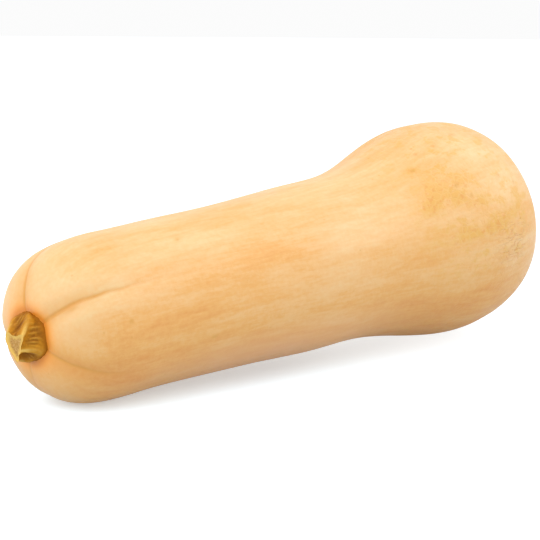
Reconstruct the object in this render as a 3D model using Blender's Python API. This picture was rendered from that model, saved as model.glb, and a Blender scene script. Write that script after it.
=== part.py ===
"""A butternut squash with its cut stem, lying on its side as picked.

Metres, +Z up. The squash lies along X, with its stem end at -X and its blossom end at +X. The origin is
on the surface that it rests on, under the middle of its overall box.
"""

import math

import bmesh
import bpy
import numpy as np
from mathutils import Matrix

MM = 0.001

# Fruit. The outline gives the radius of the neck and the bulb at distances from the stem end, and the
# rounded ends are taken off it: each is as deep as its depth, and flatter the larger its flatness.
FRUIT_LENGTH = 280 * MM
OUTLINE_AT = np.array([0, 28, 62, 101, 140, 168, 190, 213, 235, 258, 280]) * MM
OUTLINE_RADIUS = np.array([41.5, 36, 35.5, 36.5, 39, 40, 44, 50.5, 54, 54, 65]) * MM
END_ROUNDING = 2.25
STEM_END_DEPTH = 43.5 * MM
STEM_END_FLATNESS = 2.45
BLOSSOM_END_DEPTH = 35.5 * MM
BLOSSOM_END_FLATNESS = 2.0

# The centre line's height over the surface, and how far it bows sideways.
CENTRE_AT = np.array([0, 22, 70, 140, 210, 280]) * MM
CENTRE_HEIGHT = np.array([31.8, 33.4, 37.9, 43.5, 49.9, 61.2]) * MM
CENTRE_SIDEWAYS = np.array([-0.5, 1.6, 0, -2.9, -0.9, 0]) * MM

# The hollow that the stem sits in, and the small one left by the flower.
STEM_HOLLOW_DEPTH = 2.4 * MM
STEM_HOLLOW_RADIUS = 11 * MM
BLOSSOM_HOLLOW_DEPTH = 1.2 * MM
BLOSSOM_HOLLOW_RADIUS = 5 * MM

# Furrows that run from the stem and fade along the neck. Each starts at its angle round the fruit and
# drifts to one side as it leaves the stem.
FURROW_ANGLES = np.radians([101, 37, -24, -98, 190])
FURROW_DRIFTS = np.radians([7, -5, -5, 0, 4])
FURROW_DRIFT_LENGTH = 14 * MM
FURROW_LENGTHS = np.array([30, 44, 26, 18, 34]) * MM
FURROW_DEPTHS = np.array([1.0, 1.4, 1.1, 0.6, 1.1]) * MM
FURROW_HALF_WIDTH = 4 * MM

# Stem. It stands on a full, round foot, and five ridges lean round it to the corners of its cut face,
# with valleys between them that are pinched in at half its height.
STEM_LENGTH = 5.8 * MM  # from the end of the fruit to the cut face
STEM_BASE_RADIUS = 10.8 * MM
STEM_TOP_FLATTENING = 0.07
STEM_TIP_VALLEY = 4.4 * MM
STEM_TIP_CORNERS = np.array([7.9, 4.3, 6.9, 5.9, 6.7]) * MM
STEM_FOOT_FULLNESS = 2.0
STEM_NECK_SHARPNESS = 1.3
STEM_PINCH = 0.16
STEM_LIP = 0.8 * MM
STEM_DROOP = 2.4 * MM
RIDGES_AT_BASE = np.radians([82, -33, -93, -165, 146])
RIDGES_AT_TIP = np.radians([41, -20, -79, -200, 131])
RIDGE_HALF_WIDTH = math.radians(18)
CUT_FACE_DISH = 0.5 * MM

# Dents pressed into the stem's side, from its foot at level 0 to its cut face at level 1.
DENT_ANGLES = np.radians([-58, 92, -130, 158])
DENT_HALF_WIDTHS = np.radians([18, 22, 22, 12])
DENT_LEVELS = np.array([0.68, 0.60, 0.60, 0.60])
DENT_DEPTHS = np.array([2.0, 1.2, 1.2, 0.8]) * MM
DENT_HALF_HEIGHT = 0.28
DENT_START = 0.25

STEM_GAP = 0.3 * MM  # between the stem's base and the skin

# Mesh rings. Those of the stem's base and cut face are shares of the radius there.
RINGS = 54
SEGMENTS = 60
END_CROWDING = 0.6
STEM_SIDE_RINGS = 9
STEM_BASE_RINGS = (0.35, 0.7, 1)
CUT_FACE_RINGS = (0.8, 0.45)
OUTLINE_SAMPLES = 4000

ANGLES = np.linspace(0, 2 * math.pi, SEGMENTS, endpoint=False)


def smooth_curve(places, values):
    """The natural cubic curve through the values, as a function of the place."""
    steps = np.diff(places)
    slopes = np.diff(values) / steps
    system = np.eye(len(places))
    change = np.zeros(len(places))
    for i in range(1, len(places) - 1):
        system[i, i - 1 : i + 2] = steps[i - 1], 2 * (steps[i - 1] + steps[i]), steps[i]
        change[i] = 6 * (slopes[i] - slopes[i - 1])
    bends = np.linalg.solve(system, change)

    def curve(place):
        i = np.clip(np.searchsorted(places, place) - 1, 0, len(steps) - 1)
        after = (place - places[i]) / steps[i]
        before = 1 - after
        bowed = (before**3 - before) * bends[i] + (after**3 - after) * bends[i + 1]
        return before * values[i] + after * values[i + 1] + bowed * steps[i] ** 2 / 6

    return curve


body_radius = smooth_curve(OUTLINE_AT, OUTLINE_RADIUS)
centre_height = smooth_curve(CENTRE_AT, CENTRE_HEIGHT)
centre_sideways = smooth_curve(CENTRE_AT, CENTRE_SIDEWAYS)


def rounded_end(distance, depth, flatness):
    """The share of the full radius left at a distance from a rounded end."""
    inside = 1 - np.clip(distance / depth, 0, 1)
    return (1 - inside**END_ROUNDING) ** (1 / flatness)


def fruit_radius(along):
    stem_end = rounded_end(along, STEM_END_DEPTH, STEM_END_FLATNESS)
    blossom_end = rounded_end(FRUIT_LENGTH - along, BLOSSOM_END_DEPTH, BLOSSOM_END_FLATNESS)
    return body_radius(along) * stem_end * blossom_end


def centre_line(along):
    return np.stack([along, centre_sideways(along), centre_height(along)], axis=-1)


def direction(along):
    """The centre line's unit direction, towards the blossom end."""
    half_step = 0.5 * MM
    run = centre_line(along + half_step) - centre_line(along - half_step)
    return run / np.linalg.norm(run, axis=-1, keepdims=True)


def outwards(along, angle):
    """The unit direction away from the centre line: angle 0 faces -Y, and a quarter turn faces up."""
    ahead = direction(along)
    near = np.cross(ahead, [0, 0, 1])
    near /= np.linalg.norm(near, axis=-1, keepdims=True)
    up = np.cross(near, ahead)
    return np.cos(angle)[..., None] * near + np.sin(angle)[..., None] * up


def angle_between(first, second):
    return np.abs((first - second + math.pi) % (2 * math.pi) - math.pi)


def hill(distance, half_width):
    """A smooth hill: 1 at distance 0, falling to nearly 0 at twice the half width."""
    return np.exp(-((distance / half_width) ** 2))


def furrow_depth(along, angle):
    """How deep the skin lies in the furrows, which are as wide on the end as on the neck."""
    radius = fruit_radius(along)
    drifted = 1 - np.exp(-along / FURROW_DRIFT_LENGTH)
    depth = 0
    for start, drift, length, deepest in zip(FURROW_ANGLES, FURROW_DRIFTS, FURROW_LENGTHS, FURROW_DEPTHS):
        aside = angle_between(angle, start + drift * drifted) * radius
        depth = depth + deepest * hill(aside, FURROW_HALF_WIDTH) * hill(along, length)
    opening = np.clip(radius / STEM_BASE_RADIUS, 0, 1) ** 2
    return depth * opening


def skin(along, angle):
    """Points of the fruit's skin, with its furrows and the hollows at its two ends."""
    along, angle = np.broadcast_arrays(np.asarray(along, float), np.asarray(angle, float))
    radius = fruit_radius(along)
    points = centre_line(along) + radius[..., None] * outwards(along, angle)
    core = centre_line(np.clip(along, STEM_END_DEPTH, FRUIT_LENGTH - BLOSSOM_END_DEPTH))
    inwards = core - points
    inwards /= np.linalg.norm(inwards, axis=-1, keepdims=True)
    near_stem = along < FRUIT_LENGTH / 2
    stem_hollow = STEM_HOLLOW_DEPTH * hill(radius, STEM_HOLLOW_RADIUS) * near_stem
    blossom_hollow = BLOSSOM_HOLLOW_DEPTH * hill(radius, BLOSSOM_HOLLOW_RADIUS) * ~near_stem
    points += furrow_depth(along, angle)[..., None] * inwards
    return points + (stem_hollow - blossom_hollow)[..., None] * direction(along)


def ring_places():
    """Places along the fruit, evenly spread over its outline and closer together at both ends."""
    dense = FRUIT_LENGTH * (1 - np.cos(np.linspace(0, math.pi, OUTLINE_SAMPLES))) / 2
    lengths = np.hypot(np.diff(dense), np.diff(fruit_radius(dense)))
    outline = np.concatenate([[0], np.cumsum(lengths)])
    share = np.linspace(0, 1, RINGS + 2)
    share -= END_CROWDING * np.sin(2 * math.pi * share) / (2 * math.pi)
    return np.interp(share * outline[-1], outline, dense)[1:-1]


def place_of_radius(radius):
    """Where along the stem end the fruit has a given radius."""
    dense = np.linspace(0, 1, OUTLINE_SAMPLES) ** 3 * STEM_END_DEPTH / 2
    return np.interp(radius, fruit_radius(dense), dense)


def closed_mesh(name, start, rings, end):
    """An object skinned over rings of points, from one end point to the other."""
    bm = bmesh.new()
    first = bm.verts.new(start)
    loops = [[bm.verts.new(point) for point in ring] for ring in rings]
    last = bm.verts.new(end)
    for i in range(SEGMENTS):
        j = (i + 1) % SEGMENTS
        bm.faces.new((first, loops[0][i], loops[0][j]))
        for ring, following in zip(loops, loops[1:]):
            bm.faces.new((ring[i], following[i], following[j], ring[j]))
        bm.faces.new((loops[-1][i], last, loops[-1][j]))
    bmesh.ops.recalc_face_normals(bm, faces=bm.faces)
    mesh = bpy.data.meshes.new(name)
    bm.to_mesh(mesh)
    bm.free()
    piece = bpy.data.objects.new(name, mesh)
    bpy.context.scene.collection.objects.link(piece)
    return piece


def flatten_underside(piece):
    """Cuts the piece level with the surface that it rests on, which leaves a flat face at each contact."""
    bm = bmesh.new()
    bm.from_mesh(piece.data)
    everything = bm.verts[:] + bm.edges[:] + bm.faces[:]
    bmesh.ops.bisect_plane(bm, geom=everything, plane_co=(0, 0, 0), plane_no=(0, 0, 1), clear_inner=True)
    bmesh.ops.holes_fill(bm, edges=bm.edges)
    bmesh.ops.recalc_face_normals(bm, faces=bm.faces)
    bm.to_mesh(piece.data)
    bm.free()


def shade_and_colour(piece, colour, roughness):
    material = bpy.data.materials.new(piece.name + "_surface")
    material.use_nodes = True
    shader = material.node_tree.nodes["Principled BSDF"]
    shader.inputs["Base Color"].default_value = (*colour, 1)
    shader.inputs["Roughness"].default_value = roughness
    shader.inputs["Metallic"].default_value = 0
    piece.data.materials.append(material)
    piece.data.shade_smooth()
    piece.data.set_sharp_from_angle(angle=math.radians(45))


def make_fruit():
    places = ring_places()
    rings = skin(places[:, None], ANGLES[None, :])
    fruit = closed_mesh("fruit", skin(0, 0), rings, skin(FRUIT_LENGTH, 0))
    flatten_underside(fruit)
    shade_and_colour(fruit, colour=(0.82, 0.50, 0.24), roughness=0.4)
    return fruit


def stem_dents(level):
    """The depth of the dents in the stem's side at each angle."""
    depth = 0
    for angle, half_width, middle, deepest in zip(DENT_ANGLES, DENT_HALF_WIDTHS, DENT_LEVELS, DENT_DEPTHS):
        aside = angle_between(ANGLES, angle)
        depth = depth + deepest * hill(aside, half_width) * hill(level - middle, DENT_HALF_HEIGHT)
    return depth * min(level / DENT_START, 1)


def stem_radius(level):
    """The stem's radius at each angle, from level 0 at its foot to 1 at its cut face."""
    foot = (1 - level**STEM_FOOT_FULLNESS) ** STEM_NECK_SHARPNESS
    base = STEM_BASE_RADIUS * (1 - STEM_TOP_FLATTENING * np.clip(np.sin(ANGLES), 0, 1))
    valley = STEM_TIP_VALLEY + (base - STEM_TIP_VALLEY) * foot
    valley *= 1 - STEM_PINCH * math.sin(math.pi * level)
    ridges = RIDGES_AT_BASE + (RIDGES_AT_TIP - RIDGES_AT_BASE) * level
    radius = valley - stem_dents(level)
    for ridge, corner in zip(ridges, STEM_TIP_CORNERS):
        crest = corner + (base - corner) * foot
        radius = radius + (crest - valley) * hill(angle_between(ANGLES, ridge), RIDGE_HALF_WIDTH)
    return radius


def make_stem():
    ahead = direction(0)
    base_radius = stem_radius(0)
    spread = outwards(np.zeros(SEGMENTS), ANGLES)

    def seat(share):
        """A ring of the base, which follows the skin under it and is clear of it."""
        return skin(place_of_radius(share * base_radius), ANGLES) - STEM_GAP * ahead

    base = seat(1)
    tip_centre = centre_line(0) - STEM_LENGTH * ahead - np.array([0, 0, STEM_DROOP])
    tip = tip_centre + stem_radius(1)[:, None] * spread
    rings = [seat(share) for share in STEM_BASE_RINGS]
    for level in np.linspace(0, 1, STEM_SIDE_RINGS):
        height = (base - centre_line(0)) @ -ahead + STEM_LIP
        height += level * (STEM_LENGTH - height)
        centre = centre_line(0) - height[:, None] * ahead - np.array([0, 0, STEM_DROOP]) * level**2
        rings.append(centre + stem_radius(level)[:, None] * spread)
    for share in CUT_FACE_RINGS:
        dish = CUT_FACE_DISH * (1 - share**2)
        rings.append(tip_centre + dish * ahead + share * (tip - tip_centre))
    stem = closed_mesh("stem", seat(0)[0], rings, tip_centre + CUT_FACE_DISH * ahead)
    shade_and_colour(stem, colour=(0.38, 0.23, 0.06), roughness=0.75)
    return stem


def centre_over_origin(pieces):
    """Moves the pieces together, until the middle of their overall box is over the origin."""
    points = [vertex.co for piece in pieces for vertex in piece.data.vertices]
    middle = [(min(p[axis] for p in points) + max(p[axis] for p in points)) / 2 for axis in (0, 1)]
    for piece in pieces:
        piece.data.transform(Matrix.Translation((-middle[0], -middle[1], 0)))


for old in list(bpy.data.objects):
    bpy.data.objects.remove(old)
centre_over_origin([make_fruit(), make_stem()])
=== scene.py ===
"""The looks of a butternut squash that lies on a pale floor in soft studio light.

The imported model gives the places. The fruit and its stem are built again here with a fine surface, in
metres and in the same frame: +X runs from the stem end to the blossom end, +Z is up, and the floor is at 0.
"""

import math

import bmesh
import bpy
import numpy as np
from mathutils import Matrix, Vector, noise


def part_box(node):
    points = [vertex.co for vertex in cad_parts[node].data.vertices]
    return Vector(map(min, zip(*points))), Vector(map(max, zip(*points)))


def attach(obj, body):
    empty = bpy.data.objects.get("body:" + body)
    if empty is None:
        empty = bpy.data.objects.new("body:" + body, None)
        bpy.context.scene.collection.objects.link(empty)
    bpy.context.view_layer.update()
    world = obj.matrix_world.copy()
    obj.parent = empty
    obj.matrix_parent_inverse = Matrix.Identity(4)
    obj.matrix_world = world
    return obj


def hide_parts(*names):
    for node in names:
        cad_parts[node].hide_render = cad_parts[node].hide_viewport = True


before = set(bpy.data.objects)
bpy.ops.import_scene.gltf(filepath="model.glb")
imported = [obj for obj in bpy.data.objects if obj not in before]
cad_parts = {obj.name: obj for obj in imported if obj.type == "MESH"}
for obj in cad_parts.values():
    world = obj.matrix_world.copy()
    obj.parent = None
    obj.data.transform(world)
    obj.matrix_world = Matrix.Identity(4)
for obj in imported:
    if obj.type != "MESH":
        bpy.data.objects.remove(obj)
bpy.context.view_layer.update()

MM = 0.001
TURN = 2 * math.pi

# ---------------------------------------------------------------- the fruit's shape, as the design has it
# The outline is the radius at distances from the stem end, and the two rounded ends are taken off it.
FRUIT_LENGTH = 280 * MM
OUTLINE_AT = np.array([0, 28, 62, 101, 140, 168, 190, 213, 235, 258, 280]) * MM
OUTLINE_RADIUS = np.array([41.5, 36, 35.5, 36.5, 39, 40, 44, 50.5, 54, 54, 65]) * MM
END_ROUNDING = 2.25
STEM_END_DEPTH = 43.5 * MM
STEM_END_FLATNESS = 2.45
BLOSSOM_END_DEPTH = 35.5 * MM
BLOSSOM_END_FLATNESS = 2.0
# The centre line's height over the floor, and how far it bows sideways.
CENTRE_AT = np.array([0, 22, 70, 140, 210, 280]) * MM
CENTRE_HEIGHT = np.array([31.8, 33.4, 37.9, 43.5, 49.9, 61.2]) * MM
CENTRE_SIDEWAYS = np.array([-0.5, 1.6, 0, -2.9, -0.9, 0]) * MM
STEM_HOLLOW_DEPTH = 2.4 * MM
STEM_HOLLOW_RADIUS = 11 * MM
BLOSSOM_HOLLOW_DEPTH = 1.2 * MM
BLOSSOM_HOLLOW_RADIUS = 5 * MM
# Each furrow starts at its angle at the stem, drifts to one side and fades along the neck.
FURROW_ANGLES = np.radians([101, 37, -24, -98, 190])
FURROW_DRIFTS = np.radians([7, -5, -5, 0, 4])
FURROW_LENGTHS = np.array([30, 44, 26, 18, 34]) * MM
FURROW_STRENGTHS = np.array([0.75, 1.0, 0.8, 0.4, 0.8])
FURROW_DRIFT_LENGTH = 14 * MM

# ---------------------------------------------------------------- the fruit's fine surface
# Each furrow is a broad valley with a narrow crease along its bottom.
VALLEY_DEPTH = 1.1 * MM
VALLEY_HALF_WIDTH = 4.2 * MM
CREASE_DEPTH = 0.3 * MM
CREASE_HALF_WIDTH = 0.8 * MM
CREASE_REACH = 0.8
CREASE_WANDER = math.radians(1.6)
CREASE_WANDER_SIZE = 12 * MM
# Soft dents, lobes and ripples that are drawn out along the fruit, and pleats round the blossom end.
DENT_HEIGHT = 0.35 * MM
DENT_SIZE = 32 * MM
LOBE_HEIGHT = 0.16 * MM
LOBE_SIZE = 11 * MM
LOBE_FINENESS_ALONG = 0.22  # as a share of the fineness round the fruit
RIPPLE_HEIGHT = 0.035 * MM
RIPPLE_SIZE = 3.2 * MM
RIPPLE_FINENESS_ALONG = 0.5
PLEATS = 10
PLEAT_HEIGHT = 0.16 * MM
PLEAT_RADIUS = 4.5 * MM
PLEAT_HALF_WIDTH = 2.2 * MM
# Patterns that follow the fruit's length are laid on a straight tube of the neck's size.
TUBE_RADIUS = 38 * MM

# ---------------------------------------------------------------- the stem's shape
STEM_LENGTH = 5.8 * MM
STEM_BASE_RADIUS = 10.8 * MM
STEM_TOP_FLATTENING = 0.07
STEM_TIP_VALLEY = 4.4 * MM
STEM_TIP_CORNERS = np.array([7.9, 4.3, 6.9, 5.9, 6.7]) * MM
STEM_DROOP = 2.4 * MM
STEM_FOOT_FULLNESS = 2.0
STEM_NECK_SHARPNESS = 1.3
RIDGES_AT_BASE = np.radians([82, -33, -93, -165, 146])
RIDGES_AT_TIP = np.radians([41, -20, -79, -200, 131])
RIDGE_HALF_WIDTH = math.radians(18)
STEM_PINCH = 0.16
RIB_SPACING = math.radians(14)
RIB_HALF_WIDTH = math.radians(3.2)
RIB_HEIGHT = 0.65 * MM
RIB_TWIST = math.radians(28)
RIB_SCATTER = 0.2
RIB_STRENGTHS = (0.5, 1.0)
RIB_MIDDLES = (0.40, 0.55)
RIB_HALF_HEIGHT = 0.20
RIB_FADE_AT_RIDGES = 0.7
RIBBED_LEVEL = 0.45
# Dents in the stem's side, between its foot at level 0 and its cut face at level 1: the angle in degrees,
# the level, the half width in degrees, the half height in levels, and the depth in millimetres.
STEM_DENTS = (
    (-58, 0.68, 18, 0.28, 2.0),
    (92, 0.60, 22, 0.26, 1.2),
    (-130, 0.60, 22, 0.30, 1.2),
    (158, 0.60, 12, 0.30, 0.8),
)
DENT_FREE_FOOT = 0.25  # the level below which the dents fade out
DENT_FULL_DEPTH = 1.2 * MM  # the depth from which a dent has its full painted shade
# The crumpled surface: knobs that are higher on the ridges near the foot, finer crumples, and grit.
KNOB_HEIGHT = 0.3 * MM
RIDGE_KNOB_HEIGHT = 0.35 * MM
KNOB_SIZE = 2.4 * MM
CRUMPLE_HEIGHT = 0.22 * MM
CRUMPLE_SIZE = 1.2 * MM
GRIT_HEIGHT = 0.09 * MM
GRIT_SIZE = 0.5 * MM
CUT_FACE_DISH = 0.5 * MM
CUT_FACE_CORE = 0.02
PIT_DEPTH = 0.16 * MM
PIT_SIZE = 0.8 * MM
STEM_SINK = 0.3 * MM  # how far the stem's foot reaches into the skin that it grows from

# ---------------------------------------------------------------- mesh fineness
FRUIT_RINGS = 296
FRUIT_SEGMENTS = 330
STEM_SIDE_RINGS = 80
CUT_FACE_RINGS = 40
STEM_SEGMENTS = 300
END_CROWDING = 0.45
OUTLINE_SAMPLES = 6000


# ================================================================ curves and surfaces
def smooth_curve(places, values):
    """The natural cubic curve through the values, as a function of the place."""
    steps = np.diff(places)
    slopes = np.diff(values) / steps
    system = np.eye(len(places))
    change = np.zeros(len(places))
    for i in range(1, len(places) - 1):
        system[i, i - 1 : i + 2] = steps[i - 1], 2 * (steps[i - 1] + steps[i]), steps[i]
        change[i] = 6 * (slopes[i] - slopes[i - 1])
    bends = np.linalg.solve(system, change)

    def curve(place):
        i = np.clip(np.searchsorted(places, place) - 1, 0, len(steps) - 1)
        after = (place - places[i]) / steps[i]
        before = 1 - after
        bowed = (before**3 - before) * bends[i] + (after**3 - after) * bends[i + 1]
        return before * values[i] + after * values[i + 1] + bowed * steps[i] ** 2 / 6

    return curve


body_radius = smooth_curve(OUTLINE_AT, OUTLINE_RADIUS)
centre_height = smooth_curve(CENTRE_AT, CENTRE_HEIGHT)
centre_sideways = smooth_curve(CENTRE_AT, CENTRE_SIDEWAYS)


def rounded_end(distance, depth, flatness):
    """The share of the full radius left at a distance from a rounded end."""
    inside = 1 - np.clip(distance / depth, 0, 1)
    return (1 - inside**END_ROUNDING) ** (1 / flatness)


def fruit_radius(along):
    stem_end = rounded_end(along, STEM_END_DEPTH, STEM_END_FLATNESS)
    blossom_end = rounded_end(FRUIT_LENGTH - along, BLOSSOM_END_DEPTH, BLOSSOM_END_FLATNESS)
    return body_radius(along) * stem_end * blossom_end


def centre_line(along):
    return np.stack([along, centre_sideways(along), centre_height(along)], axis=-1)


def direction(along):
    """The centre line's unit direction, towards the blossom end."""
    half_step = 0.5 * MM
    run = centre_line(along + half_step) - centre_line(along - half_step)
    return run / np.linalg.norm(run, axis=-1, keepdims=True)


def outwards(along, angle):
    """The unit direction away from the centre line: angle 0 faces -Y, and a quarter turn faces up."""
    ahead = direction(along)
    near = np.cross(ahead, [0, 0, 1])
    near /= np.linalg.norm(near, axis=-1, keepdims=True)
    up = np.cross(near, ahead)
    return np.cos(angle)[..., None] * near + np.sin(angle)[..., None] * up


def angle_between(first, second):
    return np.abs((first - second + math.pi) % TURN - math.pi)


def hill(distance, half_width):
    """A smooth hill: 1 at distance 0, falling to nearly 0 at twice the half width."""
    return np.exp(-((distance / half_width) ** 2))


def lumps(points, size, seed):
    """Smooth noise from -1 to 1 at each point, with lumps of about that size."""
    shift = Vector((seed * 7.3, seed * 3.1, seed * 5.7))
    flat = points.reshape(-1, 3) / size
    found = [noise.noise(Vector(point) + shift) for point in flat]
    return np.array(found).reshape(points.shape[:-1])


def straightened(along, angle):
    """The skin's places laid on a straight tube, so that patterns on them follow the fruit's length."""
    radius = np.minimum(fruit_radius(along), TUBE_RADIUS)
    return np.stack([along, radius * np.cos(angle), radius * np.sin(angle)], axis=-1)


def furrows(along, angle):
    """The depth of the furrows, and how near each place is to the bottom of a crease, from 0 to 1."""
    radius = fruit_radius(along)
    wander = CREASE_WANDER * lumps(straightened(along, angle * 0), CREASE_WANDER_SIZE, 1)
    valley = 0
    crease = 0
    known = zip(FURROW_ANGLES, FURROW_DRIFTS, FURROW_LENGTHS, FURROW_STRENGTHS)
    for furrow, drift, length, strength in known:
        bottom = furrow + drift * (1 - np.exp(-along / FURROW_DRIFT_LENGTH)) + wander
        aside = angle_between(angle, bottom) * radius
        valley = valley + strength * hill(along, length) * hill(aside, VALLEY_HALF_WIDTH)
        crease = crease + strength * hill(along, length * CREASE_REACH) * hill(aside, CREASE_HALF_WIDTH)
    opening = np.clip(radius / STEM_BASE_RADIUS, 0, 1) ** 2
    return (VALLEY_DEPTH * valley + CREASE_DEPTH * crease) * opening, crease * opening


def skin(along, angle):
    """Points of the fruit's skin, without its small relief."""
    radius = fruit_radius(along)
    points = centre_line(along) + radius[..., None] * outwards(along, angle)
    core = centre_line(np.clip(along, STEM_END_DEPTH, FRUIT_LENGTH - BLOSSOM_END_DEPTH))
    inwards = core - points
    inwards /= np.linalg.norm(inwards, axis=-1, keepdims=True)
    near_stem = along < FRUIT_LENGTH / 2
    stem_hollow = STEM_HOLLOW_DEPTH * hill(radius, STEM_HOLLOW_RADIUS) * near_stem
    blossom_hollow = BLOSSOM_HOLLOW_DEPTH * hill(radius, BLOSSOM_HOLLOW_RADIUS) * ~near_stem
    depth, _ = furrows(along, angle)
    points += depth[..., None] * inwards
    return points + (stem_hollow - blossom_hollow)[..., None] * direction(along)


def fruit_places():
    """Places along the fruit, evenly spread over its outline and closer together at both ends."""
    dense = FRUIT_LENGTH * (1 - np.cos(np.linspace(0, math.pi, OUTLINE_SAMPLES))) / 2
    lengths = np.hypot(np.diff(dense), np.diff(fruit_radius(dense)))
    outline = np.concatenate([[0], np.cumsum(lengths)])
    share = np.linspace(0, 1, FRUIT_RINGS + 2)
    share -= END_CROWDING * np.sin(TURN * share) / TURN
    return np.interp(share * outline[-1], outline, dense)[1:-1]


def place_of_radius(radius):
    """Where along the stem end the fruit has a given radius."""
    dense = np.linspace(0, 1, OUTLINE_SAMPLES) ** 3 * STEM_END_DEPTH / 2
    return np.interp(radius, fruit_radius(dense), dense)


def grid_normals(points):
    """Unit normals of a closed ring grid, pointing away from its middle."""
    across = np.roll(points, -1, axis=1) - np.roll(points, 1, axis=1)
    along = np.gradient(points, axis=0)
    normals = np.cross(across, along)
    normals /= np.linalg.norm(normals, axis=-1, keepdims=True)
    outside = points - points.mean(axis=1, keepdims=True)
    return normals * np.sign((normals * outside).sum(axis=-1).mean())


def with_poles(rings):
    """The rings' points or values in one list, followed by the means of the first and of the last ring."""
    width = rings.shape[-1]
    return np.concatenate([rings.reshape(-1, width), rings[[0, -1]].mean(axis=1)])


def ring_faces(count, segments):
    """Quads between rings that follow each other in one list, and a fan to the pole at each end."""
    ring, place = np.meshgrid(np.arange(count - 1), np.arange(segments), indexing="ij")
    this = ring * segments
    following = this + segments
    beside = (place + 1) % segments
    quads = np.stack([this + place, this + beside, following + beside, following + place], -1)
    around = np.arange(segments)
    beside = (around + 1) % segments
    first_pole = np.full(segments, count * segments)
    last = (count - 1) * segments
    start_fan = np.stack([first_pole, beside, around], -1)
    end_fan = np.stack([first_pole + 1, last + around, last + beside], -1)
    return quads.reshape(-1, 4).tolist() + start_fan.tolist() + end_fan.tolist()


def ring_mesh(name, rings, values):
    """An object skinned over rings of points and closed by a fan at each end.

    Each value is a number or a vector at every point of the rings, kept as an attribute of the mesh.
    """
    count, segments = rings.shape[:2]
    mesh = bpy.data.meshes.new(name)
    mesh.from_pydata(with_poles(rings).tolist(), [], ring_faces(count, segments))
    for label, value in values.items():
        is_vector = value.ndim == 3
        flat = with_poles(value.reshape(count, segments, -1)).astype(np.float32)
        kept = mesh.attributes.new(label, "FLOAT_VECTOR" if is_vector else "FLOAT", "POINT")
        kept.data.foreach_set("vector" if is_vector else "value", flat.ravel())
    mesh.shade_smooth()
    face_outwards(mesh)
    piece = bpy.data.objects.new(name, mesh)
    bpy.context.scene.collection.objects.link(piece)
    return piece


def face_outwards(mesh):
    bm = bmesh.new()
    bm.from_mesh(mesh)
    bmesh.ops.recalc_face_normals(bm, faces=bm.faces)
    bm.to_mesh(mesh)
    bm.free()


# ================================================================ shader nodes
def node(tree, kind, inputs=None, **settings):
    """A shader node with its settings, and with each input linked to a socket or set to a value."""
    made = tree.nodes.new("ShaderNode" + kind)
    for setting, value in settings.items():
        setattr(made, setting, value)
    for name, value in (inputs or {}).items():
        if isinstance(value, bpy.types.NodeSocket):
            tree.links.new(value, made.inputs[name])
        else:
            made.inputs[name].default_value = value
    return made


def attribute(tree, name, output="Fac"):
    return node(tree, "Attribute", attribute_name=name).outputs[output]


def stretched(tree, place, along, around):
    """The place with its own scale along the fruit and round it, in pattern sizes per metre."""
    return node(tree, "VectorMath", {0: place, 1: (along, around, around)}, operation="MULTIPLY").outputs[0]


def cloud(tree, place, scale=1.0, detail=3.0, roughness=0.5):
    """Smooth noise from 0 to 1."""
    inputs = {"Vector": place, "Scale": scale, "Detail": detail, "Roughness": roughness}
    return node(tree, "TexNoise", inputs).outputs["Fac"]


def cells(tree, place, scale=1.0, feature="F1"):
    """The distance to the nearest of scattered points, or to the edge between two, in their spacings."""
    inputs = {"Vector": place, "Scale": scale}
    return node(tree, "TexVoronoi", inputs, feature=feature).outputs["Distance"]


def between(tree, value, low, high, start=0.0, end=1.0):
    """Start below low, end above high, and a smooth change between them."""
    inputs = {"Value": value, "From Min": low, "From Max": high, "To Min": start, "To Max": end}
    return node(tree, "MapRange", inputs, interpolation_type="SMOOTHSTEP").outputs["Result"]


def maths(tree, operation, first, second=0.0, third=0.0):
    return node(tree, "Math", {0: first, 1: second, 2: third}, operation=operation).outputs[0]


def product(tree, first, *others):
    """All the values multiplied together."""
    for other in others:
        first = maths(tree, "MULTIPLY", first, other)
    return first


def varied(tree, tone, pattern, spread, amount, share=1.0):
    """The tone raised and lowered by up to an amount, as a pattern leaves 0.5 by up to its spread."""
    change = between(tree, pattern, 0.5 - spread, 0.5 + spread, -amount, amount)
    return maths(tree, "MULTIPLY_ADD", share, change, tone)


def blended(tree, share, first, second):
    """The second colour over the first, by a share from 0 to 1."""
    made = node(tree, "Mix", {"Factor": share}, data_type="RGBA")
    for index, colour in ((6, first), (7, second)):
        if isinstance(colour, bpy.types.NodeSocket):
            tree.links.new(colour, made.inputs[index])
        else:
            made.inputs[index].default_value = (*colour, 1)
    return made.outputs[2]


def ramp(tree, value, stops):
    """A colour that changes smoothly from stop to stop as the value goes from 0 to 1."""
    made = node(tree, "ValToRGB", {"Fac": value})
    elements = made.color_ramp.elements
    for position, colour in stops[1:-1]:
        elements.new(position)
    for element, (position, colour) in zip(elements, stops):
        element.position = position
        element.color = (*colour, 1)
    return made.outputs["Color"]


def bumped(tree, height, distance, normal=None, strength=1.0):
    """A normal tilted by a height from 0 to 1 that stands for a distance, over another normal if given."""
    inputs = {"Height": height, "Distance": distance, "Strength": strength}
    if normal is not None:
        inputs["Normal"] = normal
    return node(tree, "Bump", inputs).outputs["Normal"]


def new_material(name):
    """A material with an empty node tree but for its Principled BSDF, which is returned with the tree."""
    material = bpy.data.materials.new(name)
    material.use_nodes = True
    tree = material.node_tree
    return material, tree, tree.nodes["Principled BSDF"]


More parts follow.
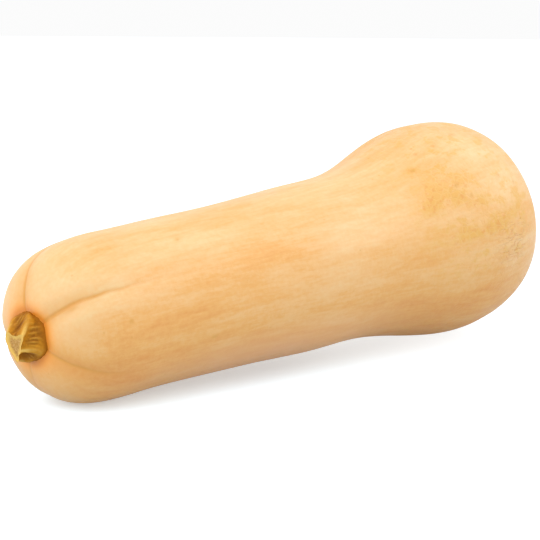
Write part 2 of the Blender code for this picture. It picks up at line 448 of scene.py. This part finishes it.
# ================================================================ materials
SKIN_DEEP = (0.60, 0.238, 0.042)
SKIN_TAN = (0.65, 0.325, 0.085)
SKIN_BASE = (0.67, 0.385, 0.150)
SKIN_CREAM = (0.67, 0.480, 0.240)
SKIN_ORANGE = (0.80, 0.29, 0.020)
FURROW_TAN = (0.56, 0.245, 0.035)
FRECKLE_BROWN = (0.52, 0.25, 0.030)
SKIN_GOLD = (0.63, 0.335, 0.072)
SKIN_PAINTED_BOUNCE = (0.67, 0.34, 0.165)
SCAR_BROWN = (0.50, 0.24, 0.055)
SCAR_DARK = (0.30, 0.115, 0.018)
CONTACT_SHADE = (0.57, 0.175, 0.008)

# How fine each pattern of the skin is along the fruit and round it, in pattern sizes per metre.
CLOUD_SCALE = (13, 60)
STREAK_SCALE = (40, 230)
GRAIN_SCALE = (110, 800)
MOTTLE_SCALE = (500, 500)
BLOTCH_SCALE = (130, 210)
DIMPLE_SCALE = (420, 600)
SWIRL_SCALE = (240, 240)
SWIRL_SHIFT = 2 * MM
NET_SCALE = (260, 380)
FOLD_SCALE = (130, 520)
FRECKLE_SCALE = (170, 230)
FRECKLE_GROUP_SCALE = (160, 160)
GLOSS_SCALE = (60, 120)
PORE_SCALE = (900, 1100)
RIPPLE_SCALE = (90, 260)


def ground_colour(tree, place, streaks, mottle):
    """The skin's colour from tan to cream, with clouds, streaks, grain and a painted floor bounce underneath.
    """
    away = attribute(tree, "away_from_ends")
    clouds = cloud(tree, stretched(tree, place, *CLOUD_SCALE), detail=2)
    grain = cloud(tree, stretched(tree, place, *GRAIN_SCALE), detail=3, roughness=0.6)
    tone = varied(tree, attribute(tree, "tone"), clouds, 0.25, 0.35)
    tone = varied(tree, tone, streaks, 0.25, 0.34, away)
    tone = varied(tree, tone, grain, 0.2, 0.24, away)
    tone = varied(tree, tone, mottle, 0.2, 0.2)
    shades = ((0.0, SKIN_DEEP), (0.3, SKIN_TAN), (0.52, SKIN_BASE), (0.85, SKIN_CREAM))
    colour = ramp(tree, maths(tree, "MULTIPLY_ADD", tone, 0.25, 0.5), shades)
    # Painted floor bounce: a pale pinkish tint on the underside, about the middle of the fruit.
    return blended(tree, product(tree, attribute(tree, "painted_floor_bounce"), 0.6), colour, SKIN_PAINTED_BOUNCE)


def bent_place(tree, place):
    """The place shifted a little, so that straight-edged cells look grown."""
    inputs = {"Vector": stretched(tree, place, *SWIRL_SCALE), "Detail": 2, "Scale": 1}
    swirl = node(tree, "TexNoise", inputs).outputs["Color"]
    shift = node(tree, "VectorMath", {0: swirl, "Scale": SWIRL_SHIFT}, operation="SCALE").outputs[0]
    return node(tree, "VectorMath", {0: place, 1: shift}, operation="ADD").outputs[0]


def bulb_markings(tree, place, colour, net):
    """Golden blotches on the bulb with painted shade of small dimples, and a pale net of fine cells."""
    bulb = attribute(tree, "bulb")
    gold = attribute(tree, "gold")
    upper = between(tree, attribute(tree, "tone"), -0.9, 0.0)
    blotches = cloud(tree, stretched(tree, place, *BLOTCH_SCALE), detail=5, roughness=0.65)
    blotched = between(tree, blotches, 0.50, 0.62, 0, 0.8)
    colour = blended(tree, product(tree, bulb, blotched, upper), colour, SKIN_GOLD)
    patchy = between(tree, blotches, 0.38, 0.52, 0.35, 1.0)
    colour = blended(tree, product(tree, gold, patchy), colour, SKIN_GOLD)
    dimples = cloud(tree, stretched(tree, place, *DIMPLE_SCALE), detail=3)
    dimple_shade = between(tree, dimples, 0.52, 0.66, 0, 0.5)
    # Painted shade of small dimples in the golden patches.
    colour = blended(tree, product(tree, dimple_shade, gold), colour, SKIN_DEEP)
    netted = between(tree, blotches, 0.44, 0.56, 0, 0.14)
    return blended(tree, product(tree, net, bulb, netted, upper), colour, SKIN_CREAM)


def freckled(tree, place, colour):
    """Groups of small freckles, more of them on the bulb, and the larger specks."""
    freckles = cells(tree, stretched(tree, place, *FRECKLE_SCALE))
    groups = cloud(tree, stretched(tree, place, *FRECKLE_GROUP_SCALE), detail=1)
    dots = between(tree, freckles, 0.13, 0.06)
    grouped = between(tree, groups, 0.56, 0.62, 0, 0.5)
    on_bulb = between(tree, attribute(tree, "bulb"), 0.0, 1.0, 0.7, 1.5)
    colour = blended(tree, product(tree, dots, grouped, on_bulb), colour, FRECKLE_BROWN)
    return blended(tree, attribute(tree, "speck"), colour, FRECKLE_BROWN)


def stem_end_markings(tree, colour, streaks):
    """An orange glow round the stem, brown furrow lines with painted shade in their valleys, and a dark ring
    of painted shade at the stem.
    """
    glow = product(tree, attribute(tree, "stem_glow"), 0.9)
    colour = blended(tree, glow, colour, SKIN_ORANGE)
    uneven = between(tree, streaks, 0.2, 0.6, 0.65, 0.95)
    # Brown furrow lines, with painted shade over their valleys near the stem.
    colour = blended(tree, product(tree, attribute(tree, "furrow_line_and_shade"), uneven), colour, FURROW_TAN)
    # Painted shade in a dark ring round the stem's foot.
    contact = product(tree, attribute(tree, "stem_contact_shade"), 0.9)
    return blended(tree, contact, colour, CONTACT_SHADE)


def scarred(tree, colour, mottle):
    """The brown scar that the flower left, with a broken dark ring and a dark middle."""
    scar = attribute(tree, "blossom_scar")
    colour = blended(tree, between(tree, scar, 0.05, 0.7, 0, 0.9), colour, SCAR_BROWN)
    ring = product(tree, between(tree, scar, 0.2, 0.4), between(tree, scar, 0.65, 0.45))
    broken = between(tree, mottle, 0.4, 0.6, 0.1, 0.6)
    colour = blended(tree, product(tree, ring, broken), colour, SCAR_DARK)
    return blended(tree, between(tree, scar, 0.85, 1.0, 0, 0.7), colour, SCAR_DARK)


def skin_relief(tree, place, net, folds):
    """The skin's pores and ripples, with the folds and the net pressed in."""
    pores = cloud(tree, stretched(tree, place, *PORE_SCALE), detail=3)
    ripples = cloud(tree, stretched(tree, place, *RIPPLE_SCALE), detail=4)
    normal = bumped(tree, pores, 0.05 * MM)
    normal = bumped(tree, ripples, 0.14 * MM, normal)
    normal = bumped(tree, folds, -0.2 * MM, normal, attribute(tree, "wrinkled"))
    return bumped(tree, net, -0.05 * MM, normal, attribute(tree, "bulb"))


def skin_material():
    material, tree, shader = new_material("squash_skin")
    place = attribute(tree, "skin_place", "Vector")
    bent = bent_place(tree, place)
    streaks = cloud(tree, stretched(tree, place, *STREAK_SCALE), detail=2)
    mottle = cloud(tree, stretched(tree, place, *MOTTLE_SCALE), detail=4, roughness=0.6)
    edges = cells(tree, stretched(tree, bent, *NET_SCALE), feature="DISTANCE_TO_EDGE")
    net = between(tree, edges, 0.14, 0.02)
    waves = cloud(tree, stretched(tree, bent, *FOLD_SCALE), detail=3)
    folds = between(tree, maths(tree, "ABSOLUTE", maths(tree, "SUBTRACT", waves, 0.5)), 0.05, 0.0)

    colour = ground_colour(tree, place, streaks, mottle)
    colour = bulb_markings(tree, place, colour, net)
    # Painted shade in the folds of the bulb's wrinkled skin.
    fold_shade = product(tree, folds, attribute(tree, "wrinkled"), 0.5)
    colour = blended(tree, fold_shade, colour, SKIN_DEEP)
    colour = freckled(tree, place, colour)
    colour = stem_end_markings(tree, colour, streaks)
    colour = scarred(tree, colour, mottle)
    tree.links.new(colour, shader.inputs["Base Color"])

    gloss = cloud(tree, stretched(tree, place, *GLOSS_SCALE), detail=4)
    tree.links.new(between(tree, gloss, 0.3, 0.7, 0.38, 0.50), shader.inputs["Roughness"])
    shader.inputs["Subsurface Weight"].default_value = 0.12
    shader.inputs["Subsurface Radius"].default_value = (1.0, 0.45, 0.15)
    shader.inputs["Subsurface Scale"].default_value = 3 * MM
    tree.links.new(skin_relief(tree, place, net, folds), shader.inputs["Normal"])
    return material


STEM_OCHRE = (0.50, 0.20, 0.010)
STEM_OLIVE = (0.37, 0.15, 0.008)
STEM_RIDGE = (0.54, 0.26, 0.035)
STEM_PALE = (0.64, 0.39, 0.090)
STEM_SHADE = (0.17, 0.05, 0.002)
STEM_FOOT_SHADE = (0.27, 0.085, 0.002)
CUT_PITH = (0.52, 0.31, 0.11)
CUT_TAN = (0.38, 0.19, 0.045)
CUT_SPECK = (0.16, 0.07, 0.02)


STEM_PATCH_SCALE = 450
PITH_SCALE = 900
VESSEL_SCALE = 1000
FIBRE_SCALE = 2200


def stem_side_colour(tree, place):
    """Ochre and olive, paler on the ridges, painted shade in the hollows and at the foot, and painted
    highlight on the ribs.
    """
    ridge = attribute(tree, "ridge")
    level = attribute(tree, "level")
    rib = attribute(tree, "rib")
    patches = cloud(tree, place, STEM_PATCH_SCALE, detail=5, roughness=0.65)
    colour = blended(tree, between(tree, patches, 0.35, 0.65), STEM_OCHRE, STEM_OLIVE)
    # Painted shade in the hollows between the ridges.
    hollow_shade = product(tree, between(tree, ridge, 0.5, 0.0), between(tree, patches, 0.35, 0.6, 0.1, 0.6))
    colour = blended(tree, hollow_shade, colour, STEM_SHADE)
    # Paler along the ridges.
    pale_ridge = product(tree, between(tree, ridge, 0.5, 0.95), between(tree, patches, 0.35, 0.6, 0.2, 0.9))
    pale_ridge = product(tree, pale_ridge, between(tree, level, 0.0, 0.6, 0.45, 1.0))
    colour = blended(tree, pale_ridge, colour, STEM_RIDGE)
    crest = product(tree, between(tree, ridge, 0.75, 1.0), between(tree, level, 0.45, 1.0))
    colour = blended(tree, crest, colour, STEM_PALE)
    # Painted shade between the ribs.
    rib_gap_shade = product(tree, between(tree, rib, 0.3, 0.0), attribute(tree, "ribbed"), 0.55)
    colour = blended(tree, rib_gap_shade, colour, STEM_SHADE)
    # Painted highlight along the raised ribs.
    colour = blended(tree, product(tree, rib, 0.85), colour, STEM_RIDGE)
    # Painted shade in the dents.
    colour = blended(tree, product(tree, attribute(tree, "dent"), 0.75), colour, STEM_SHADE)
    # Painted shade at the stem's foot, where it grows from the skin.
    return blended(tree, between(tree, level, 0.32, 0.05, 0, 0.9), colour, STEM_FOOT_SHADE)


def cut_face_colour(tree, place):
    """Pale and tan pith with dark vessels, inside a pale rim."""
    rim = attribute(tree, "cut_rim")
    pith = cloud(tree, place, PITH_SCALE, detail=4, roughness=0.7)
    colour = blended(tree, between(tree, pith, 0.32, 0.56), CUT_PITH, CUT_TAN)
    colour = blended(tree, between(tree, rim, 0.4, 0.9), colour, STEM_PALE)
    vessels = between(tree, cells(tree, place, VESSEL_SCALE), 0.36, 0.22)
    in_pith = between(tree, pith, 0.45, 0.6)
    inside = between(tree, rim, 0.8, 0.5)
    return blended(tree, product(tree, vessels, in_pith, inside), colour, CUT_SPECK)


def stem_material():
    material, tree, shader = new_material("dry_stem")
    place = node(tree, "TexCoord").outputs["Object"]
    side = stem_side_colour(tree, place)
    face = cut_face_colour(tree, place)
    colour = blended(tree, attribute(tree, "cut_face"), side, face)
    tree.links.new(colour, shader.inputs["Base Color"])
    shader.inputs["Roughness"].default_value = 0.6
    shader.inputs["Specular IOR Level"].default_value = 0.08
    fibres = cloud(tree, place, FIBRE_SCALE, detail=4, roughness=0.6)
    tree.links.new(bumped(tree, fibres, 0.12 * MM), shader.inputs["Normal"])
    return material


# ================================================================ pieces
def fruit_grid():
    """The place along and the angle of every point of the fruit's rings."""
    angles = np.linspace(0, TURN, FRUIT_SEGMENTS, endpoint=False)
    return np.meshgrid(fruit_places(), angles, indexing="ij")


def onto_design(points):
    """Moves points from the stem end's own frame to the design's, where its fruit lies."""
    low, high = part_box("fruit")
    middle = (np.array(low) + np.array(high)) / 2
    bare = skin(*fruit_grid()).reshape(-1, 3)
    own = (bare.min(axis=0) + bare.max(axis=0)) / 2
    return points + np.array([middle[0] - own[0], middle[1] - own[1], 0])


def small_relief(along, angle, points):
    """The gentle unevenness of a real skin, along its normals."""
    straight = straightened(along, angle)
    dents = DENT_HEIGHT * lumps(points, DENT_SIZE, 2)
    lobes = LOBE_HEIGHT * lumps(straight * (LOBE_FINENESS_ALONG, 1, 1), LOBE_SIZE, 3)
    ripple = RIPPLE_HEIGHT * lumps(straight * (RIPPLE_FINENESS_ALONG, 1, 1), RIPPLE_SIZE, 4)
    near_blossom = along > FRUIT_LENGTH / 2
    pleated = hill(fruit_radius(along) - PLEAT_RADIUS, PLEAT_HALF_WIDTH) * near_blossom
    return dents + lobes + ripple + PLEAT_HEIGHT * np.cos(PLEATS * angle) * pleated


# Soft marks in the skin: place along, angle, half length, half width, and how much they change the tone.
# Angles are in degrees, where 0 faces -Y and 90 faces up, and the other measures are in millimetres.
MARKS = (
    (92, 31, 26, 6, -0.8),
    (54, 6, 30, 13, -0.6),
    (25, -30, 14, 9, -0.45),
    (40, 84, 16, 7, -0.25),
    (92, 68, 20, 7, -0.3),
    (160, 40, 40, 9, 0.2),
    (213, 20, 8, 4, 0.9),
    (237, 54, 9, 8, 0.9),
    (245, 5, 12, 6, -0.5),
    (242, -42, 32, 26, -0.7),
    (18, -75, 24, 22, -0.6),
    (6, 125, 14, 14, -0.5),
    # A painted highlight on the pale lobe between two furrows near the stem.
    (20, 30, 11, 9, 1.2),
    (74, 3, 34, 14, -0.5),
    (142, 13, 16, 14, 1.0),
    (210, 2, 15, 14, 0.8),
    (240, 16, 12, 12, 0.6),
    (20, -8, 16, 14, -0.8),
    (34, 63, 14, 8, -0.9),
    (205, 62, 10, 8, -0.5),
    (243, -4, 10, 9, 0.6),
    (190, -50, 34, 18, -0.8),
)
# Golden patches of the bulb: place along, angle, half length and half width.
GOLD_PATCHES = (
    (200, 58, 4, 3),
    (214, 38, 6, 5),
    (201, 42, 8, 5),
    (195, 32, 7, 5),
    (209, 32, 9, 4),
    (222, 26, 8, 3),
    (214, 10, 20, 3.5),
    (232, 14, 10, 4),
    (215, 110, 14, 7),
    (205, 152, 12, 6),
    (230, -100, 12, 8),
    (212, 205, 14, 6),
)
# Where the bulb's skin has fine folds, in the same measures.
WRINKLES = (
    (239, -2, 13, 14),
    (228, 112, 15, 12),
    (240, -118, 13, 13),
    (222, 200, 16, 10),
)
# Small brown specks, in the same measures.
SPECKS = (
    (7, 32, 2.2, 1.2),
    (29, 9, 1.0, 0.9),
    (66, 57, 1.2, 0.8),
    (71, -17, 1.2, 0.8),
    (200, 58, 1.4, 1.2),
    (209, 67, 1.0, 0.9),
    (214, 38, 1.4, 1.1),
    (219, 30, 1.0, 0.9),
    (221, 66, 1.0, 0.9),
    (238, 69, 1.4, 0.9),
    (242, 35, 1.0, 1.2),
    (251, 29, 1.0, 1.0),
    (112, 118, 1.4, 0.9),
    (190, 135, 1.2, 1.0),
    (226, 160, 1.5, 1.2),
    (233, -140, 1.3, 1.1),
)
SPECK_STRENGTH = 0.7
# The skin is pale round the stem, except in the furrows, and of an even tone at the blossom end.
SHOULDER_REACH = 34 * MM
SHOULDER_TONE = 0.6
SHOULDER_FURROW_SHARE = 1.2
BLOSSOM_EVEN_RADIUS = 26 * MM
BLOSSOM_TONE = -0.15
# The tone for each sine of the angle: the top is paler than the underside, whose tan is partly painted shade.
TONE_AND_SHADE_AT_HEIGHT = ((-0.5, 0.1, 0.85), (-1.3, -0.3, 0.5))
BOUNCE_HEIGHTS = (0.3, 0.7)  # sines of the angle below the side where the painted floor bounce starts and is full
BOUNCE_AT = 105 * MM
BOUNCE_REACH = 65 * MM
BULB_START = 175 * MM
BULB_FULL = 210 * MM
STREAKLESS_RADIUS = 34 * MM
STEM_GLOW_WIDTH = 4.6 * MM
STEM_CONTACT_SHADE_WIDTH = 2.3 * MM
# The painted shade over the furrows' valleys near the stem: its share of the furrow line's brown, and its
# reach.
VALLEY_SHADE = 0.45
VALLEY_SHADE_REACH = 18 * MM
SCAR_RADIUS = 3.8 * MM
SCAR_UNEVENNESS = 0.45
SCAR_LUMP_SIZE = 2.6 * MM
FAR_AWAY = 1.0  # a distance that is past every mark


def patch(along, angle, place, at, half_length, half_width):
    """1 in the middle of a soft patch of skin, given in millimetres and degrees, falling to 0 round it."""
    aside = angle_between(angle, math.radians(at)) * fruit_radius(along)
    return hill(along - place * MM, half_length * MM) * hill(aside, half_width * MM)


def patches(along, angle, places):
    return sum(patch(along, angle, *place) for place in places)


def share_of_way(value, start, end):
    """0 up to the start, 1 from the end on, and in even steps between them."""
    return np.clip((value - start) / (end - start), 0, 1)


def skin_tone(along, angle, valley):
    """The skin's broad pattern of colour: about -1 is tan, 0 is the middle colour and 1 is cream."""
    # Darker towards the underside, partly painted shade.
    tone = np.interp(np.sin(angle), *TONE_AND_SHADE_AT_HEIGHT)
    shoulder = SHOULDER_TONE * hill(along, SHOULDER_REACH) ** 2
    tone = tone + shoulder * (1 - SHOULDER_FURROW_SHARE * valley)
    for *place, shade in MARKS:
        tone = tone + shade * patch(along, angle, *place)
    from_blossom = np.where(along > FRUIT_LENGTH / 2, fruit_radius(along), FAR_AWAY)
    evened = hill(np.minimum(from_blossom, BLOSSOM_EVEN_RADIUS), BLOSSOM_EVEN_RADIUS)
    return tone + (BLOSSOM_TONE - tone) * evened


def skin_values(along, angle, points):
    """What the skin's material needs to know at each point: where it lies on a tube, its tone, and shares."""
    radius = fruit_radius(along)
    near_stem = along < FRUIT_LENGTH / 2
    from_stem = np.where(near_stem, radius - stem_radius(angle, along * 0), FAR_AWAY)
    from_stem = np.maximum(from_stem, 0)
    uneven = 1 + SCAR_UNEVENNESS * lumps(points, SCAR_LUMP_SIZE, 9)
    from_blossom = np.where(near_stem, FAR_AWAY, radius * uneven)
    depth, crease = furrows(along, angle)
    valley = np.clip(depth / VALLEY_DEPTH, 0, 1)
    # The line along each crease is the skin's own colour; the tint over the broad valley is painted shade.
    line = crease + VALLEY_SHADE * valley * hill(along, VALLEY_SHADE_REACH)
    below = share_of_way(-np.sin(angle), *BOUNCE_HEIGHTS)
    return {
        "skin_place": straightened(along, angle),
        "tone": skin_tone(along, angle, valley),
        "bulb": share_of_way(along, BULB_START, BULB_FULL),
        "away_from_ends": share_of_way(radius, 0, STREAKLESS_RADIUS) ** 4,
        "stem_glow": hill(from_stem, STEM_GLOW_WIDTH),
        "furrow_line_and_shade": np.clip(line, 0, 1),
        "stem_contact_shade": hill(from_stem, STEM_CONTACT_SHADE_WIDTH),
        # Painted floor bounce on the underside.
        "painted_floor_bounce": below * hill(along - BOUNCE_AT, BOUNCE_REACH),
        "wrinkled": patches(along, angle, WRINKLES),
        "gold": np.clip(patches(along, angle, GOLD_PATCHES), 0, 1),
        "speck": SPECK_STRENGTH * patches(along, angle, SPECKS),
        "blossom_scar": hill(from_blossom, SCAR_RADIUS),
    }


def make_fruit():
    along, angle = fruit_grid()
    points = skin(along, angle)
    points = points + small_relief(along, angle, points)[..., None] * grid_normals(points)
    points = onto_design(points)
    points[..., 2] = np.maximum(points[..., 2], 0)
    fruit = ring_mesh("fruit_skin", points, skin_values(along, angle, points))
    fruit.data.materials.append(skin_material())
    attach(fruit, "root")
    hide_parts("fruit")
    return fruit


def ridge_hills(angle, level):
    """How near each place is to each ridge of the stem, from 0 to 1, with the ridges along the last axis."""
    ridges = RIDGES_AT_BASE + (RIDGES_AT_TIP - RIDGES_AT_BASE) * level[..., None]
    return hill(angle_between(angle[..., None], ridges), RIDGE_HALF_WIDTH)


def stem_radius(angle, level):
    """The stem's radius at a level from 0 at its foot to 1 at the cut face."""
    foot = ((1 - level**STEM_FOOT_FULLNESS) ** STEM_NECK_SHARPNESS)[..., None]
    base = STEM_BASE_RADIUS * (1 - STEM_TOP_FLATTENING * np.clip(np.sin(angle), 0, 1))[..., None]
    valley = STEM_TIP_VALLEY + (base - STEM_TIP_VALLEY) * foot
    valley = valley * (1 - STEM_PINCH * np.sin(math.pi * level))[..., None]
    crests = STEM_TIP_CORNERS + (base - STEM_TIP_CORNERS) * foot
    ridges = (crests - valley) * ridge_hills(angle, level)
    return valley[..., 0] + ridges.sum(axis=-1) - stem_dents(angle, level)


def stem_dents(angle, level):
    """The depth of the hollows pressed into the stem's side."""
    depth = 0
    for at, middle, half_width, half_height, deepest in STEM_DENTS:
        aside = angle_between(angle, math.radians(at))
        across = hill(aside, math.radians(half_width))
        depth = depth + deepest * MM * across * hill(level - middle, half_height)
    return depth * share_of_way(level, 0, DENT_FREE_FOOT)


def stem_ribs(angle, level):
    """Short ribs that run lengthwise over the stem's foot, from 0 to 1."""
    draw = np.random.default_rng(4)
    ribs = 0
    for place in np.arange(0, TURN, RIB_SPACING):
        place = place + draw.uniform(-RIB_SCATTER, RIB_SCATTER) * RIB_SPACING
        strength = draw.uniform(*RIB_STRENGTHS)
        middle = draw.uniform(*RIB_MIDDLES)
        aside = angle_between(angle, place + RIB_TWIST * (level - middle))
        ribs = ribs + strength * hill(aside, RIB_HALF_WIDTH) * hill(level - middle, RIB_HALF_HEIGHT)
    return ribs * (1 - RIB_FADE_AT_RIDGES * ridge_hills(angle, level).max(axis=-1))


def stem_side(angle, level, ridge, ribs):
    """Points of the stem's side, from just under the skin to the rim of the cut face."""
    ahead = direction(0)
    spread = outwards(np.zeros_like(angle), angle)
    origin = centre_line(0)
    base = skin(place_of_radius(stem_radius(angle, level * 0)), angle)
    height = (base - origin) @ -ahead - STEM_SINK
    height = height + level * (STEM_LENGTH - height)
    radius = stem_radius(angle, level) + RIB_HEIGHT * ribs
    droop = np.array([0, 0, STEM_DROOP]) * (level**2)[..., None]
    side = origin - height[..., None] * ahead - droop + radius[..., None] * spread
    knobs = lumps(side, KNOB_SIZE, 5) * (KNOB_HEIGHT + RIDGE_KNOB_HEIGHT * ridge * (1 - level))
    crumples = CRUMPLE_HEIGHT * lumps(side, CRUMPLE_SIZE, 6)
    grit = GRIT_HEIGHT * lumps(side, GRIT_SIZE, 8)
    return side + (knobs + crumples + grit)[..., None] * spread


def cut_face(rim, share):
    """Points of the dished, pitted cut face, on rings at each share of the way from middle to rim."""
    ahead = direction(0)
    middle = centre_line(0) - STEM_LENGTH * ahead - np.array([0, 0, STEM_DROOP])
    flat = middle + share[:, None, None] * (rim - middle)
    dish = CUT_FACE_DISH * (1 - share**6)
    pits = PIT_DEPTH * lumps(flat, PIT_SIZE, 7) * (1 - share[:, None] ** 4)
    return flat + (dish[:, None] + pits)[..., None] * ahead


def make_stem():
    angles = np.linspace(0, TURN, STEM_SEGMENTS, endpoint=False)
    level, angle = np.meshgrid(np.linspace(0, 1, STEM_SIDE_RINGS), angles, indexing="ij")
    ridge = ridge_hills(angle, level).max(axis=-1)
    ribs = stem_ribs(angle, level)
    side = stem_side(angle, level, ridge, ribs)
    share = np.linspace(1, CUT_FACE_CORE, CUT_FACE_RINGS + 1)[1:]
    face = cut_face(side[-1], share)

    def over_both(on_side, on_face):
        return np.concatenate([on_side, np.broadcast_to(on_face, face.shape[:2])])

    values = {
        "ridge": over_both(ridge, 1.0),
        "rib": over_both(np.clip(ribs, 0, 1), 0.0),
        "ribbed": over_both(hill(level - RIBBED_LEVEL, RIB_HALF_HEIGHT) * (1 - ridge), 0.0),
        "level": over_both(level, 1.0),
        "dent": over_both(share_of_way(stem_dents(angle, level), 0, DENT_FULL_DEPTH), 0.0),
        "cut_face": over_both(level * 0, 1.0),
        "cut_rim": over_both(level * 0, share[:, None]),
    }
    points = np.concatenate([side, face])
    stem = ring_mesh("stem_stub", onto_design(points), values)
    stem.data.materials.append(stem_material())
    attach(stem, "root")
    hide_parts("stem")
    return stem


# ================================================================ studio
# Distances and sizes are in metres, and the lens is in millimetres.
CAMERA_AZIMUTH = math.radians(-41.05)
CAMERA_ELEVATION = math.radians(10.38)
CAMERA_ROLL = math.radians(0.42)
CAMERA_DISTANCE = 597 * MM
CAMERA_AIM = Vector((-4.4, 4.8, 42.9)) * MM
CAMERA_LENS = 85
CAMERA_CLIP_START = 0.05
WORLD_STRENGTH = 0.97
LAMP_SIZE = 1.1
LAMP_DISTANCE = 1.3
# Each lamp's azimuth and elevation in degrees, and its power in watts.
LAMPS = {
    "left_softbox": (-90, 40, 8.5),
    "right_softbox": (60, 45, 7.5),
    "back_softbox": (-150, 40, 3),
    "front_softbox": (5, 12, 2.5),
}
FLOOR_SIZE = 200
FLOOR_TINT = (0.82, 1.0, 1.15)
SHADOW_FADE = (-40 * MM, 140 * MM)  # where along X the shadow starts and ends getting paler
# Each floor's height, its brightness, and the part of that which is lit: at the stem end, then at the bulb.
FLOOR_SEEN = (0, 1.17, 0.77, 0.25)
FLOOR_LIT = (-0.1 * MM, 0.84, 0.62, 0.62)


def towards(azimuth, elevation):
    """The unit direction from the object at an azimuth, where 0 is along -Y, and at an elevation."""
    flat = math.cos(elevation)
    return Vector((math.sin(azimuth) * flat, -math.cos(azimuth) * flat, math.sin(elevation)))


def make_camera():
    lens = bpy.data.cameras.new("camera")
    lens.lens = CAMERA_LENS
    lens.clip_start = CAMERA_CLIP_START
    camera = bpy.data.objects.new("camera", lens)
    bpy.context.scene.collection.objects.link(camera)
    back = towards(CAMERA_AZIMUTH, CAMERA_ELEVATION)
    turn = back.to_track_quat("Z", "Y").to_matrix() @ Matrix.Rotation(CAMERA_ROLL, 3, "Z")
    camera.matrix_world = Matrix.Translation(CAMERA_AIM + back * CAMERA_DISTANCE) @ turn.to_4x4()
    bpy.context.scene.camera = camera


def make_floor(name, height, brightness, lit_at_stem, lit_at_bulb):
    """A floor of an even brightness. The more of it is lit and not its own glow, the darker the shadow."""
    mesh = bpy.data.meshes.new(name)
    half = FLOOR_SIZE / 2
    signs = ((-1, -1), (1, -1), (1, 1), (-1, 1))
    corners = [(x * half, y * half, height) for x, y in signs]
    mesh.from_pydata(corners, [], [(0, 1, 2, 3)])
    floor = bpy.data.objects.new(name, mesh)
    bpy.context.scene.collection.objects.link(floor)
    material, tree, shader = new_material(name)
    place = node(tree, "SeparateXYZ", {0: node(tree, "TexCoord").outputs["Object"]}).outputs["X"]
    lit = between(tree, place, *SHADOW_FADE, lit_at_stem, lit_at_bulb)
    tinted = node(tree, "VectorMath", {0: FLOOR_TINT, "Scale": lit}, operation="SCALE").outputs[0]
    tree.links.new(tinted, shader.inputs["Base Color"])
    tree.links.new(maths(tree, "SUBTRACT", brightness, lit), shader.inputs["Emission Strength"])
    shader.inputs["Emission Color"].default_value = (1, 1, 1, 1)
    shader.inputs["Roughness"].default_value = 0.9
    shader.inputs["Specular IOR Level"].default_value = 0.1
    mesh.materials.append(material)
    return floor


def make_floors():
    """A floor that is seen, bright with a pale shadow, over one that lights the fruit from below."""
    seen = make_floor("floor_seen", *FLOOR_SEEN)
    seen.visible_diffuse = False
    seen.visible_glossy = False
    seen.visible_shadow = False
    lit = make_floor("floor_lit", *FLOOR_LIT)
    lit.visible_camera = False


def make_lamp(name, azimuth, elevation, power):
    lamp = bpy.data.lights.new(name, "AREA")
    lamp.size = LAMP_SIZE
    lamp.energy = power
    softbox = bpy.data.objects.new(name, lamp)
    bpy.context.scene.collection.objects.link(softbox)
    away = towards(math.radians(azimuth), math.radians(elevation))
    turn = away.to_track_quat("Z", "Y").to_matrix()
    softbox.matrix_world = Matrix.Translation(away * LAMP_DISTANCE) @ turn.to_4x4()


def make_lights():
    world = bpy.data.worlds.new("studio")
    world.use_nodes = True
    background = world.node_tree.nodes["Background"]
    background.inputs["Color"].default_value = (1, 1, 1, 1)
    background.inputs["Strength"].default_value = WORLD_STRENGTH
    bpy.context.scene.world = world
    for name, (azimuth, elevation, power) in LAMPS.items():
        make_lamp(name, azimuth, elevation, power)


bpy.context.scene.view_settings.view_transform = "Standard"
make_camera()
make_floors()
make_lights()
make_fruit()
make_stem()
